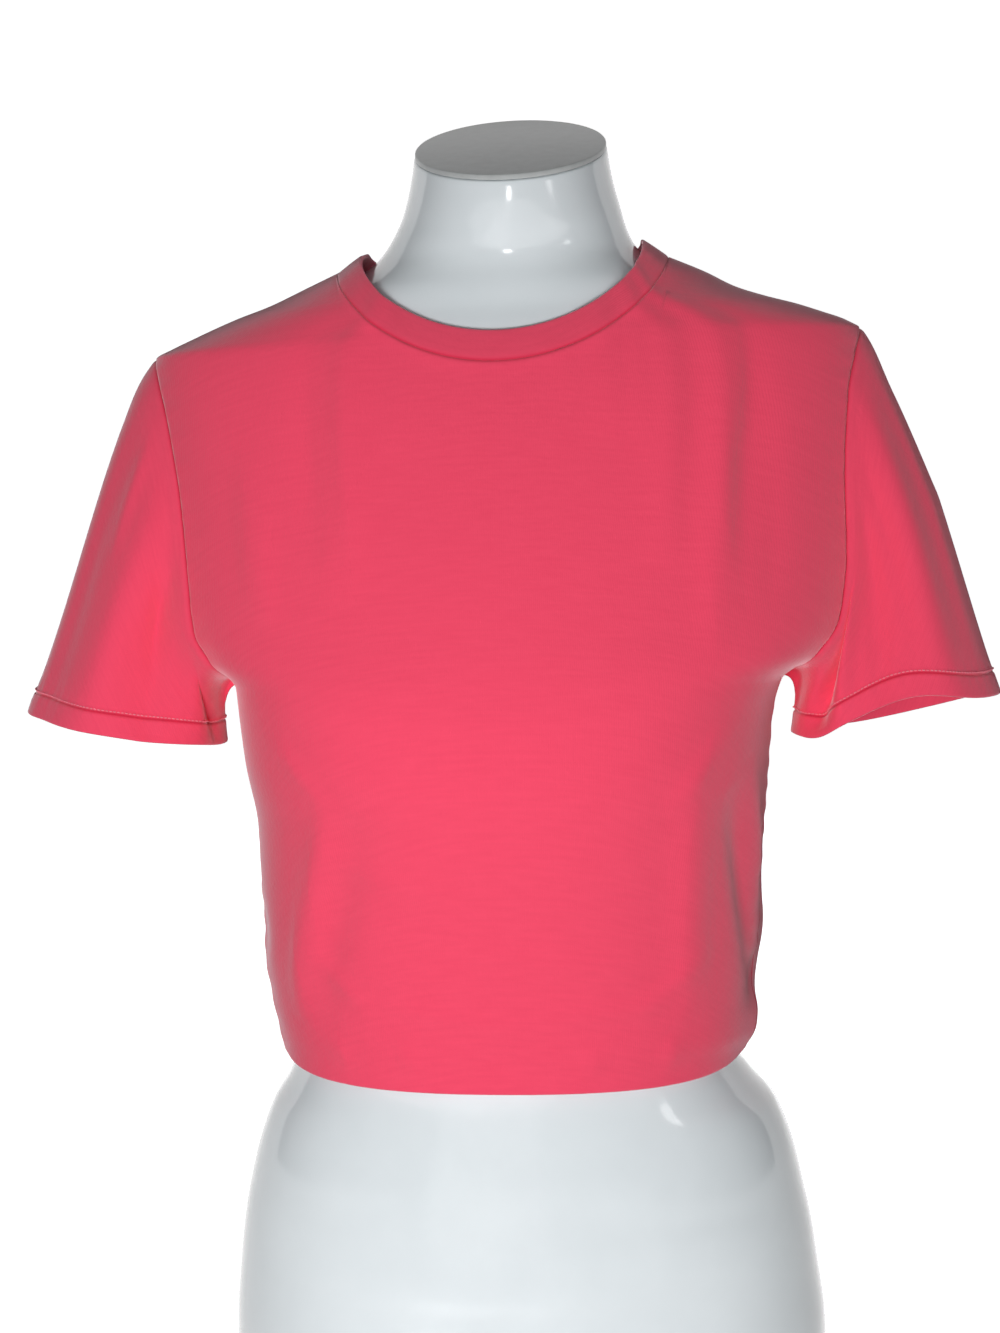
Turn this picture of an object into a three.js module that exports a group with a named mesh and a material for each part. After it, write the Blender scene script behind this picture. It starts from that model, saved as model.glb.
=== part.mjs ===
// A short-sleeved, crew-necked crop top worn by a limbless dress form that stands on its flat underside.
// Millimetres, +Z up. The front faces -Y and the wearer's left is +X. The origin is at the bottom centre.
//
// The body cloth and the form are made of superellipse sections: at height z the outline is
// (|x| / halfWidth)^n + (|y| / depth)^n = 1, with one depth in front and another behind. The shoulder ridge
// is where the half width of the cloth's sections shrinks above the arm, so one surface runs from the hem
// over the shoulder.
import * as THREE from "three";

// Driving dimensions
const CLOTH_WALL = 1.2;
const HEM_WALL = 2.2; // two layers: the turned hems of the body and the sleeves, and the neckband
const SEAM_GAP = 0.5;
const BODY_HEM_DEPTH = 16;
const SLEEVE_HEM_DEPTH = 13;

const HEM_HEIGHT = 231;
const HEM_FRONT_DROP = 8;
const HEM_BACK_DROP = 2;
const UNDERARM_HEIGHT = 438;
const SHOULDER_POINT = { x: 198, z: 627 };
const NECK_POINT = { x: 92, z: 671 };
const FRONT_NECK_DROP = 58;
const BACK_NECK_DROP = 17;
const NECK_CURVE_POWER = 0.65;
// The shoulders slope a little: the wearer's left one is higher. The slope grows from the chest up.
const SHOULDER_LEAN = { slope: 0.03, from: 340, to: 600 };

// The neckband's width, and its angle above horizontal in degrees as it leans in towards the neck
const BAND_WIDTH = 17.5;
const BAND_LEAN = { side: 37, front: 68, back: 62 };

// The cuffs are ovals whose outer side is higher. A wave lifts or lowers the edge around one turn angle.
const cuffs = {
  left: {
    centreX: 218.8,
    centreY: 2,
    height: 419,
    halfWidth: 58.5,
    halfDepth: 45,
    outerRise: 11,
    waves: [
      { turn: 88, rise: 11, halfTurn: 34 },
      { turn: 142, rise: -4, halfTurn: 22 },
      { turn: 270, rise: -7, halfTurn: 55 },
    ],
  },
  right: {
    centreX: 220.3,
    centreY: 2,
    height: 412.5,
    halfWidth: 57,
    halfDepth: 45,
    outerRise: 9.5,
    waves: [
      { turn: 90, rise: -1.5, halfTurn: 50 },
      { turn: 270, rise: 3, halfTurn: 55 },
    ],
  },
};
// A sleeve's points leave the armhole and arrive at the cuff in these directions, on top and under the arm:
// out is away from the body and up is +Z. Their lengths set how far the curve bulges.
const sleeveTravel = {
  top: { leaveOut: 95, leaveUp: -85, arriveOut: 62, arriveUp: -160 },
  under: { leaveOut: 34, leaveUp: 4, arriveOut: -6, arriveUp: -42 },
};

const NECK_PLATE_THICKNESS = 3;
const NECK_PLATE_INSET = 0.4;
const PART_GAP = 0.3;

// Cloth sections from the hem to the neck: half width on the wearer's left and right, depth in front of the
// middle and depth behind it, and the power n. Above the shoulder points the half width shrinks along the
// shoulder ridge.
const clothSections = [
  { z: 220, left: 132, right: 130, front: 95, back: 86, power: 2.3 },
  { z: 232, left: 134, right: 131, front: 95, back: 86.5, power: 2.3 },
  { z: 243, left: 138, right: 133.5, front: 95.5, back: 87, power: 2.3 },
  { z: 266, left: 139.5, right: 138, front: 97, back: 87, power: 2.3 },
  { z: 289, left: 141, right: 141.5, front: 100, back: 87.5, power: 2.3 },
  { z: 312, left: 142, right: 142, front: 104, back: 88, power: 2.3 },
  { z: 357, left: 144, right: 143, front: 114, back: 91, power: 2.35 },
  { z: 395, left: 146.5, right: 149, front: 120, back: 95, power: 2.5 },
  { z: 420, left: 149, right: 151.5, front: 119.5, back: 97, power: 2.62 },
  { z: 438, left: 154, right: 153, front: 117, back: 98, power: 2.75 },
  { z: 454, left: 180, right: 171, front: 114, back: 99, power: 2.4 },
  { z: 471, left: 193, right: 184, front: 110, back: 100, power: 2.2 },
  { z: 505, left: 199, right: 192, front: 102, back: 100, power: 2.12 },
  { z: 545, left: 201, right: 195.5, front: 92.5, back: 97, power: 2.14 },
  { z: 590, left: 201.5, right: 198, front: 82.5, back: 87, power: 2.18 },
  { z: 613, left: 200.5, right: 199, front: 77, back: 80, power: 2.16 },
  { z: 627, left: 198, right: 198, front: 73.5, back: 75, power: 2.12 },
  { z: 632, left: 190, right: 188.5, front: 72, back: 73, power: 2.1 },
  { z: 637, left: 177, right: 177, front: 71, back: 71, power: 2.08 },
  { z: 642, left: 163, right: 165, front: 70, back: 69, power: 2.06 },
  { z: 647, left: 146, right: 152, front: 69, back: 67.5, power: 2.04 },
  { z: 653, left: 129, right: 134, front: 68, back: 66, power: 2.02 },
  { z: 662, left: 112, right: 113, front: 66.5, back: 63, power: 1.98 },
  { z: 671, left: 92, right: 92, front: 65, back: 60, power: 1.95 },
];

// Where the front panel ends at the side, in degrees from its middle: the seam swings forward below the arm.
const sideSeams = [
  { z: 220, left: 76, right: 76 },
  { z: 243, left: 79, right: 79 },
  { z: 270, left: 83, right: 80 },
  { z: 300, left: 79, right: 85 },
  { z: 345, left: 79, right: 88 },
  { z: 395, left: 87, right: 90 },
  { z: 438, left: 90, right: 90 },
];

// The armholes' distance from the middle, from the underarm to the shoulder point.
const armholes = [
  { z: 438, left: 154, right: 153 },
  { z: 454, left: 172, right: 163 },
  { z: 471, left: 183, right: 171.5 },
  { z: 505, left: 187, right: 174.5 },
  { z: 545, left: 186, right: 178.5 },
  { z: 590, left: 188.5, right: 187 },
  { z: 613, left: 193.5, right: 193.5 },
  { z: 627, left: 198, right: 198 },
];

// Sections of the dress form: half width, depths, place of the middle, and slope of the section in the neck
const formSections = [
  { z: 0, halfWidth: 164.5, front: 103, back: 111, middleX: 9.5, middleY: 0, slope: 0 },
  { z: 4, halfWidth: 168.5, front: 107, back: 115, middleX: 9.5, middleY: 0, slope: 0 },
  { z: 14, halfWidth: 170.5, front: 109, back: 117, middleX: 9.5, middleY: 0, slope: 0 },
  { z: 72, halfWidth: 169.5, front: 108, back: 120, middleX: 9, middleY: 0, slope: 0 },
  { z: 107, halfWidth: 166, front: 104, back: 115, middleX: 8, middleY: 0, slope: 0 },
  { z: 130, halfWidth: 163, front: 101, back: 109, middleX: 7.5, middleY: 0, slope: 0 },
  { z: 152, halfWidth: 158.6, front: 98, back: 101, middleX: 7, middleY: 0, slope: 0 },
  { z: 175, halfWidth: 153, front: 95, back: 94, middleX: 7, middleY: 0, slope: 0 },
  { z: 198, halfWidth: 144, front: 92, back: 87, middleX: 6.5, middleY: 0, slope: 0 },
  { z: 214, halfWidth: 132.5, front: 90, back: 83, middleX: 4.5, middleY: 0, slope: 0 },
  { z: 229, halfWidth: 125.5, front: 89, back: 81, middleX: 2.2, middleY: 0, slope: 0 },
  { z: 266, halfWidth: 128, front: 91, back: 81, middleX: 1, middleY: 0, slope: 0 },
  { z: 312, halfWidth: 132, front: 97, back: 83, middleX: 1, middleY: 0, slope: 0 },
  { z: 357, halfWidth: 137, front: 108, back: 87, middleX: 0.5, middleY: 0, slope: 0 },
  { z: 395, halfWidth: 141, front: 115, back: 91, middleX: 0, middleY: 0, slope: 0 },
  { z: 438, halfWidth: 146, front: 112, back: 94, middleX: 0, middleY: 0, slope: 0 },
  { z: 480, halfWidth: 151, front: 104, back: 95.5, middleX: 0, middleY: 0, slope: 0 },
  { z: 545, halfWidth: 165, front: 88, back: 92.5, middleX: 0, middleY: 0, slope: 0 },
  { z: 590, halfWidth: 177, front: 78, back: 82.5, middleX: 0, middleY: 0, slope: 0 },
  { z: 614, halfWidth: 179, front: 72.5, back: 75.5, middleX: 0, middleY: 0, slope: 0 },
  { z: 626, halfWidth: 175.5, front: 68.6, back: 71.5, middleX: 0, middleY: 0, slope: 0 },
  { z: 635, halfWidth: 165.5, front: 65.5, back: 68, middleX: 0, middleY: 0, slope: 0 },
  { z: 643.5, halfWidth: 144, front: 62.4, back: 63.4, middleX: 0, middleY: 0, slope: 0 },
  { z: 654.5, halfWidth: 115.5, front: 60.5, back: 59.5, middleX: 0.5, middleY: 0, slope: 0 },
  { z: 666, halfWidth: 88.5, front: 58, back: 55, middleX: 1.2, middleY: -0.5, slope: 0.03 },
  { z: 676, halfWidth: 73.5, front: 56.5, back: 52.5, middleX: 2, middleY: -2, slope: 0.08 },
  { z: 688, halfWidth: 65.5, front: 55, back: 53, middleX: 3.2, middleY: -5, slope: 0.16 },
  { z: 702, halfWidth: 60, front: 54, back: 53.5, middleX: 4.5, middleY: -8, slope: 0.27 },
  { z: 717, halfWidth: 56, front: 53.5, back: 54, middleX: 4.5, middleY: -10.5, slope: 0.36 },
  { z: 732, halfWidth: 53.5, front: 53.5, back: 54, middleX: 4.5, middleY: -12, slope: 0.44 },
];
const FORM_POWER = { body: 2.3, neck: 2.0, from: 600, to: 690 };

// The largest folds: a soft ridge (or trough, if height is negative) between two points, where along is
// measured round the body from the panel's middle and z is the height.
const BODY_RADIUS = 130; // turns angles into lengths along the body
const FOLDS_END = { from: 72, to: 80 }; // degrees from a panel's middle, between which its folds die out
const frontFolds = [
  { along: 76, z: 664, toAlong: 76, toZ: 455, height: 4.5, halfWidth: 8 },
  { along: 55, z: 660, toAlong: 56, toZ: 500, height: 3, halfWidth: 8 },
  { along: 93, z: 640, toAlong: 89, toZ: 500, height: -2, halfWidth: 9 },
  { along: 34, z: 640, toAlong: 34, toZ: 570, height: 1.6, halfWidth: 7 },
  { along: -51, z: 660, toAlong: -51, toZ: 490, height: 3.2, halfWidth: 8 },
  { along: -66, z: 640, toAlong: -65, toZ: 510, height: -2, halfWidth: 9 },
  { along: -97, z: 570, toAlong: -96, toZ: 475, height: 2, halfWidth: 8 },
  { along: -78, z: 385, toAlong: -125, toZ: 255, height: 3.8, halfWidth: 11 },
  { along: -60, z: 375, toAlong: -104, toZ: 250, height: -2.5, halfWidth: 13 },
  { along: 92, z: 400, toAlong: 96, toZ: 255, height: 3.5, halfWidth: 13 },
  { along: 122, z: 385, toAlong: 165, toZ: 275, height: -4, halfWidth: 11 },
  { along: 142, z: 400, toAlong: 186, toZ: 300, height: 3, halfWidth: 10 },
];
const backFolds = [
  { along: -70, z: 640, toAlong: -58, toZ: 480, height: 3, halfWidth: 12 },
  { along: 66, z: 640, toAlong: 60, toZ: 500, height: 3, halfWidth: 12 },
  { along: -150, z: 420, toAlong: -60, toZ: 320, height: 4, halfWidth: 14 },
  { along: 150, z: 425, toAlong: 70, toZ: 310, height: 4, halfWidth: 14 },
  { along: -165, z: 320, toAlong: -80, toZ: 262, height: 3.5, halfWidth: 12 },
  { along: 160, z: 330, toAlong: 84, toZ: 270, height: 3.5, halfWidth: 12 },
  { along: 8, z: 430, toAlong: -4, toZ: 250, height: 5, halfWidth: 16 },
];
// Pinches where the cloth is caught at the side seams.
const pinches = [
  { x: 137, y: -22, z: 272, depth: 4.2, reach: 15 },
  { x: 136, y: 8, z: 298, depth: -3.2, reach: 20 },
  { x: 134, y: -18, z: 247, depth: -2.6, reach: 14 },
  { x: -137, y: -24, z: 300, depth: 2.4, reach: 16 },
];

// Sleeve folds: turn is the angle round the sleeve (0 on top, 180 under the arm, 90 in front), run goes from
// the armhole (0) to the cuff (1), and past it for a fold that is open at the cuff.
const sleeveFolds = {
  left: [
    { turn: 0, run: -0.15, toTurn: 0, toRun: 0.5, height: -4, halfTurn: 45 },
    { turn: 62, run: 0.05, toTurn: 66, toRun: 1.1, height: 4.5, halfTurn: 14 },
    { turn: 104, run: 0.1, toTurn: 98, toRun: 1.0, height: -5.5, halfTurn: 15 },
    { turn: 132, run: 0.1, toTurn: 122, toRun: 1.2, height: 5, halfTurn: 10 },
    { turn: 152, run: 0.1, toTurn: 142, toRun: 1.0, height: -4, halfTurn: 11 },
    { turn: 302, run: 0.1, toTurn: 292, toRun: 1.2, height: 4, halfTurn: 18 },
    { turn: 240, run: 0.2, toTurn: 252, toRun: 1.2, height: -4, halfTurn: 18 },
  ],
  right: [
    { turn: 2, run: 0.06, toTurn: 0, toRun: 0.96, height: -4, halfTurn: 38 },
    { turn: 88, run: 0.1, toTurn: 70, toRun: 1.1, height: 4.5, halfTurn: 13 },
    { turn: 124, run: 0.0, toTurn: 106, toRun: 1.0, height: -8, halfTurn: 13 },
    { turn: 150, run: 0.1, toTurn: 142, toRun: 1.1, height: 4, halfTurn: 12 },
    { turn: 46, run: 0.1, toTurn: 38, toRun: 1.2, height: -3, halfTurn: 13 },
    { turn: 300, run: 0.1, toTurn: 290, toRun: 1.2, height: 4, halfTurn: 18 },
    { turn: 236, run: 0.2, toTurn: 250, toRun: 1.2, height: -4, halfTurn: 18 },
  ],
};

const FOLD_RUN_SCALE = 100; // a whole run counts as this many degrees where a fold's slant is worked out

// Grid sizes
const PANEL_COLUMNS = 30;
const NECK_COLUMNS = 18; // the columns of a panel that end at the neckline
const LOWER_ROWS = 12;
const ARMHOLE_ROWS = 13;
const SLEEVE_ROWS = 10;
const SLEEVE_LENGTH = 160; // of its middle line, which places the hem's stitched row
const BAND_ROWS = 4;
const FORM_COLUMNS = 44;

const radians = (degrees) => (degrees * Math.PI) / 180;
const clamp = (value, low, high) => Math.min(high, Math.max(low, value));
const lerp = (a, b, t) => a + (b - a) * t;
const smooth = (t) => t * t * (3 - 2 * t);
const smoothBetween = (low, high, value) => smooth(clamp((value - low) / (high - low), 0, 1));
const signedPower = (value, power) => Math.sign(value) * Math.abs(value) ** power;
const handOf = (x) => (x >= 0 ? "left" : "right");

// Slopes the shoulders: a point rises with its distance towards the wearer's left.
function lean(point) {
  const { slope, from, to } = SHOULDER_LEAN;
  point.z += slope * point.x * smoothBetween(from, to, point.z);
  return point;
}

// A smooth curve through a table's column that never overshoots (monotone cubic).
function curveOf(table, column) {
  const z = table.map((row) => row.z);
  const f = table.map((row) => row[column]);
  const slopes = z.slice(1).map((top, i) => (f[i + 1] - f[i]) / (top - z[i]));
  const tangents = f.map((_, i) => {
    if (i === 0) return slopes[0];
    if (i === f.length - 1) return slopes[i - 1];
    const [below, above] = [slopes[i - 1], slopes[i]];
    return below * above <= 0 ? 0 : (2 * below * above) / (below + above);
  });
  return (height) => {
    const h = clamp(height, z[0], z[z.length - 1]);
    const i = clamp(z.findIndex((top) => top >= h) - 1, 0, z.length - 2);
    const span = z[i + 1] - z[i];
    const t = (h - z[i]) / span;
    return (
      (1 + 2 * t) * (1 - t) ** 2 * f[i] +
      t * (1 - t) ** 2 * span * tangents[i] +
      t * t * (3 - 2 * t) * f[i + 1] +
      t * t * (t - 1) * span * tangents[i + 1]
    );
  };
}

const curvesOf = (table, columns) => Object.fromEntries(columns.map((name) => [name, curveOf(table, name)]));
const cloth = curvesOf(clothSections, ["left", "right", "front", "back", "power"]);
const seamDegrees = curvesOf(sideSeams, ["left", "right"]);
const armholeX = curvesOf(armholes, ["left", "right"]);

// The height of the shoulder ridge at x: where the sections' half width is |x|, found by halving.
function ridgeHeight(x) {
  const halfWidth = cloth[handOf(x)];
  let [low, high] = [SHOULDER_POINT.z, NECK_POINT.z];
  for (let i = 0; i < 40; i++) {
    const middle = (low + high) / 2;
    if (halfWidth(middle) > Math.abs(x)) low = middle;
    else high = middle;
  }
  return (low + high) / 2;
}

// The height of a panel's top edge at x: the neckline in the middle and the shoulder seam beside it.
function topHeight(side, x) {
  const across = Math.abs(x) / NECK_POINT.x;
  if (across >= 1) return ridgeHeight(clamp(x, -SHOULDER_POINT.x, SHOULDER_POINT.x));
  const drop = side === "front" ? FRONT_NECK_DROP : BACK_NECK_DROP;
  return NECK_POINT.z - drop * (1 - across * across) ** NECK_CURVE_POWER;
}

// The lift of a ridge or trough at a place given by two coordinates: it is full along the middle of its line,
// fades towards both ends, and falls off across the line as a bell curve.
function foldLift(place, start, end, height, halfWidth) {
  const run = [end[0] - start[0], end[1] - start[1]];
  const length = Math.hypot(...run);
  const away = [place[0] - start[0], place[1] - start[1]];
  const t = (away[0] * run[0] + away[1] * run[1]) / length ** 2;
  if (t <= 0 || t >= 1) return 0;
  const across = (away[0] * run[1] - away[1] * run[0]) / length / halfWidth;
  return height * Math.sin(Math.PI * t) ** 0.8 * Math.exp(-across * across);
}

// A point of the body cloth. angle is measured from the middle of its panel, and passes
// 90 degrees behind the side.
function bodyPoint(side, angle, z) {
  const facing = side === "front" ? -1 : 1;
  const s = Math.sin(angle);
  const c = Math.cos(angle);
  const depth = c * facing < 0 ? cloth.front(z) : cloth.back(z);
  const power = 2 / cloth.power(z);
  const point = new THREE.Vector3(
    cloth[handOf(s)](z) * signedPower(s, power),
    depth * facing * signedPower(c, power),
    z,
  );
  const outward = new THREE.Vector3(s, facing * c, 0);
  const roundTheBody = angle * BODY_RADIUS;
  const folds = side === "front" ? frontFolds : backFolds;
  let lift = 0;
  for (const f of folds)
    lift += foldLift([roundTheBody, z], [f.along, f.z], [f.toAlong, f.toZ], f.height, f.halfWidth);
  // Folds die out at the panel's own edges, so that the two panels still meet.
  lift *= 1 - smoothBetween(radians(FOLDS_END.from), radians(FOLDS_END.to), Math.abs(angle));
  for (const p of pinches) {
    const away = Math.hypot(point.x - p.x, point.y - p.y, point.z - p.z) / p.reach;
    lift -= p.depth * Math.exp(-away * away);
  }
  return lean(point.addScaledVector(outward, lift));
}

// Rows of a panel, from the hem to the top: heights at its side edge.
const lowerHeights = [
  HEM_HEIGHT,
  HEM_HEIGHT + BODY_HEM_DEPTH,
  ...Array.from({ length: LOWER_ROWS - 2 }, (_, i) =>
    lerp(HEM_HEIGHT + BODY_HEM_DEPTH, UNDERARM_HEIGHT, (i + 1) / (LOWER_ROWS - 1)),
  ),
];
const armholeHeights = Array.from({ length: ARMHOLE_ROWS }, (_, i) => {
  const t = i / (ARMHOLE_ROWS - 1);
  return lerp(UNDERARM_HEIGHT, SHOULDER_POINT.z, Math.sin((t ** 1.25 * Math.PI) / 2) ** 1.1);
});
const rowHeights = [...lowerHeights, ...armholeHeights];

// Where a panel's columns end along its top edge, from -1 to 1 across the panel.
function topAcross(column) {
  const u = (2 * column) / PANEL_COLUMNS - 1;
  const neckShare = NECK_COLUMNS / PANEL_COLUMNS;
  const size = Math.abs(u);
  const across =
    size <= neckShare
      ? NECK_POINT.x * Math.sin(((size / neckShare) * Math.PI) / 2)
      : lerp(NECK_POINT.x, SHOULDER_POINT.x, (size - neckShare) / (1 - neckShare));
  return (Math.sign(u) * across) / SHOULDER_POINT.x;
}

// The body cloth's points as rows of a panel, before it gets its thickness.
function panelRows(side) {
  const hemDrop = side === "front" ? HEM_FRONT_DROP : HEM_BACK_DROP;
  // The angle at which a section is as wide as a share of its half width.
  const angleOf = (share, z) => Math.asin(clamp(share, 0, 1) ** (cloth.power(z) / 2));
  return rowHeights.map((edgeHeight) => {
    const aboveArm = edgeHeight >= UNDERARM_HEIGHT;
    const rise = smoothBetween(UNDERARM_HEIGHT - 30, SHOULDER_POINT.z, edgeHeight);
    const hemShare = 1 - smoothBetween(HEM_HEIGHT, HEM_HEIGHT + 100, edgeHeight);
    const row = [];
    for (let column = 0; column <= PANEL_COLUMNS; column++) {
      const u = (2 * column) / PANEL_COLUMNS - 1;
      const hand = handOf(u);
      const across = topAcross(column);
      const top = topHeight(side, across * SHOULDER_POINT.x);
      const z = edgeHeight + rise ** 1.6 * (top - SHOULDER_POINT.z) - hemDrop * hemShare * (1 - u ** 4);
      const seam = radians(seamDegrees[hand](edgeHeight));
      const edgeX = armholeX[hand](edgeHeight);
      const belowArm = side === "front" ? seam : Math.PI - seam;
      const sideAngle = aboveArm ? angleOf(edgeX / cloth[hand](edgeHeight), edgeHeight) : belowArm;
      const evenAngle = u * sideAngle;
      const straightAngle = Math.sign(u) * angleOf((Math.abs(across) * edgeX) / cloth[hand](z), z);
      const angle = aboveArm ? lerp(evenAngle, straightAngle, smooth(rise)) : evenAngle;
      row.push(bodyPoint(side, angle, z));
    }
    return row;
  });
}

// The armhole as a ring: from the shoulder point down the front edge to the underarm, and up the back edge.
function armholeRing(front, back, column) {
  const first = lowerHeights.length;
  const down = front.slice(first).reverse();
  const up = back.slice(first + 1, -1);
  return [...down, ...up].map((row) => row[column]);
}

// A sleeve's rows from the armhole to the cuff. Each ring point travels on a cubic from the armhole, which it
// leaves outwards, to its place on the tilted oval of the cuff.
function sleeveRows(ring, hand) {
  const mirror = hand === "left" ? 1 : -1;
  const cuff = cuffs[hand];
  const last = SLEEVE_ROWS - 1;
  const runs = Array.from({ length: SLEEVE_ROWS }, (_, i) => i / last);
  runs.splice(last, 0, 1 - SLEEVE_HEM_DEPTH / SLEEVE_LENGTH);
  // An angle in degrees brought to between -180 and 180
  const wrapped = (degrees) => ((degrees + 540) % 360) - 180;
  const travel = (name, share) => lerp(sleeveTravel.under[name], sleeveTravel.top[name], share);
  return runs.map((run) =>
    ring.map((ringPoint, i) => {
      const degrees = (360 * i) / ring.length;
      const turn = radians(degrees);
      const topShare = (1 + Math.cos(turn)) / 2;
      const end = new THREE.Vector3(
        mirror * (cuff.centreX + cuff.halfWidth * Math.cos(turn)),
        cuff.centreY - cuff.halfDepth * Math.sin(turn),
        cuff.height + cuff.outerRise * Math.cos(turn),
      );
      for (const w of cuff.waves)
        end.z += w.rise * Math.exp(-((wrapped(degrees - w.turn) / w.halfTurn) ** 2));
      const leave = new THREE.Vector3(mirror * travel("leaveOut", topShare), 0, travel("leaveUp", topShare));
      const arriveOut = mirror * travel("arriveOut", topShare);
      const arrive = new THREE.Vector3(arriveOut, 0, travel("arriveUp", topShare));
      const point = new THREE.Vector3()
        .addScaledVector(ringPoint, (1 + 2 * run) * (1 - run) ** 2)
        .addScaledVector(leave, run * (1 - run) ** 2)
        .addScaledVector(end, run * run * (3 - 2 * run))
        .addScaledVector(arrive, run * run * (run - 1));
      let lift = 0;
      for (const f of sleeveFolds[hand]) {
        const place = [f.turn + wrapped(degrees - f.turn), run * FOLD_RUN_SCALE];
        const start = [f.turn, f.run * FOLD_RUN_SCALE];
        const stop = [f.toTurn, f.toRun * FOLD_RUN_SCALE];
        lift += foldLift(place, start, stop, f.height, f.halfTurn);
      }
      const outward = new THREE.Vector3(mirror * Math.cos(turn), -Math.sin(turn), 0);
      return point.addScaledVector(outward, lift * smoothBetween(0, 0.25, run));
    }),
  );
}

// The neckline seam as a ring, from the wearer's left neck point round the front and back again.
function necklineRing(front, back) {
  const first = (PANEL_COLUMNS - NECK_COLUMNS) / 2;
  const last = PANEL_COLUMNS - first;
  const frontEdge = front[front.length - 1].slice(first, last + 1).reverse();
  const backEdge = back[back.length - 1].slice(first + 1, last);
  return [...frontEdge, ...backEdge];
}

// The neckband: each point of the seam moves up and in towards the neck by the band's width.
function neckbandRows(ring) {
  const runs = Array.from({ length: BAND_ROWS }, (_, i) => i / (BAND_ROWS - 1));
  return runs.map((run) =>
    ring.map((point, i) => {
      const frontShare = Math.sin((2 * Math.PI * i) / ring.length);
      const endLean = frontShare > 0 ? BAND_LEAN.front : BAND_LEAN.back;
      const tilt = radians(lerp(BAND_LEAN.side, endLean, Math.abs(frontShare) ** 1.2));
      const inward = BAND_WIDTH * run * Math.cos(tilt);
      const step = new THREE.Vector3(-point.x, -point.y * 1.3, 0).setLength(inward);
      step.z = BAND_WIDTH * run * Math.sin(tilt);
      return point.clone().add(step);
    }),
  );
}

const key = (p) => `${p.x.toFixed(3)},${p.y.toFixed(3)},${p.z.toFixed(3)}`;

// Adds a grid's face normals to the shared normals of its points, so that panels agree along their seams.
function addNormals(normals, rows, closed, flip) {
  const columns = rows[0].length;
  const edge = new THREE.Vector3();
  const other = new THREE.Vector3();
  for (let i = 0; i + 1 < rows.length; i++)
    for (let j = 0; j < columns - (closed ? 0 : 1); j++) {
      const k = (j + 1) % columns;
      const corners = [rows[i][j], rows[i][k], rows[i + 1][k], rows[i + 1][j]];
      edge.subVectors(corners[2], corners[0]);
      other.subVectors(corners[3], corners[1]);
      const normal = new THREE.Vector3().crossVectors(edge, other).multiplyScalar(flip ? -1 : 1);
      for (const corner of corners) {
        const name = key(corner);
        if (!normals.has(name)) normals.set(name, new THREE.Vector3());
        normals.get(name).add(normal);
      }
    }
}

// Moves a grid's edge points a little towards their inner neighbours, which leaves the gap at the seams.
function pulledIn(rows, layer, { first, last, sides }) {
  const shift = (point, towards) => {
    const step = new THREE.Vector3().subVectors(towards, point).normalize();
    return point.clone().addScaledVector(step, SEAM_GAP / 2);
  };
  const out = layer.map((row) => row.map((p) => p.clone()));
  const end = layer.length - 1;
  const width = layer[0].length;
  for (let j = 0; j < width; j++) {
    if (first) out[0][j] = shift(out[0][j], layer[1][j]);
    if (last) out[end][j] = shift(out[end][j], layer[end - 1][j]);
  }
  if (sides)
    for (let i = 0; i <= end; i++) {
      out[i][0] = shift(out[i][0], layer[i][1]);
      out[i][width - 1] = shift(out[i][width - 1], layer[i][width - 2]);
    }
  return out;
}

// A closed wall from a grid: the outer layer is the grid, and the inner layer is moved in by the thickness.
function wallGeometry(rows, normals, { closed, flip, first, last, sides, thickness }) {
  const outer = pulledIn(rows, rows, { first, last, sides });
  const innerRows = rows.map((row, i) =>
    row.map((p) => p.clone().addScaledVector(normals.get(key(p)).clone().normalize(), -thickness(i))),
  );
  const inner = pulledIn(rows, innerRows, { first, last, sides });
  const columns = rows[0].length;
  const positions = [...outer.flat(), ...inner.flat()].flatMap((p) => [p.x, p.y, p.z]);
  const innerStart = rows.length * columns;
  const indices = [];
  const quad = (a, b, c, d) => (flip ? indices.push(a, c, b, a, d, c) : indices.push(a, b, c, a, c, d));
  const at = (i, j) => i * columns + (j % columns);
  const steps = closed ? columns : columns - 1;
  for (let i = 0; i + 1 < rows.length; i++)
    for (let j = 0; j < steps; j++) {
      const corners = [at(i, j), at(i, j + 1), at(i + 1, j + 1), at(i + 1, j)];
      quad(...corners);
      quad(...corners.map((v) => v + innerStart).reverse());
    }
  const end = rows.length - 1;
  for (let j = 0; j < steps; j++) {
    quad(at(0, j + 1), at(0, j), at(0, j) + innerStart, at(0, j + 1) + innerStart);
    quad(at(end, j), at(end, j + 1), at(end, j + 1) + innerStart, at(end, j) + innerStart);
  }
  if (!closed)
    for (let i = 0; i < end; i++) {
      quad(at(i, 0), at(i + 1, 0), at(i + 1, 0) + innerStart, at(i, 0) + innerStart);
      const w = columns - 1;
      quad(at(i + 1, w), at(i, w), at(i, w) + innerStart, at(i + 1, w) + innerStart);
    }
  const geometry = new THREE.BufferGeometry();
  geometry.setAttribute("position", new THREE.Float32BufferAttribute(positions, 3));
  geometry.setIndex(indices);
  geometry.computeVertexNormals();
  return geometry;
}

// A ring of the dress form.
function formRing(section, inset) {
  const { z, halfWidth, front, back, middleX, middleY, slope } = section;
  const { body, neck, from, to } = FORM_POWER;
  const power = 2 / lerp(body, neck, smoothBetween(from, to, z));
  return Array.from({ length: FORM_COLUMNS }, (_, j) => {
    const turn = (2 * Math.PI * j) / FORM_COLUMNS;
    const s = Math.sin(turn);
    const depth = s < 0 ? front : back;
    const x = (halfWidth - inset) * signedPower(Math.cos(turn), power);
    const y = (depth - inset) * signedPower(s, power);
    return lean(new THREE.Vector3(middleX + x, middleY + y, z + slope * y));
  });
}

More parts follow.
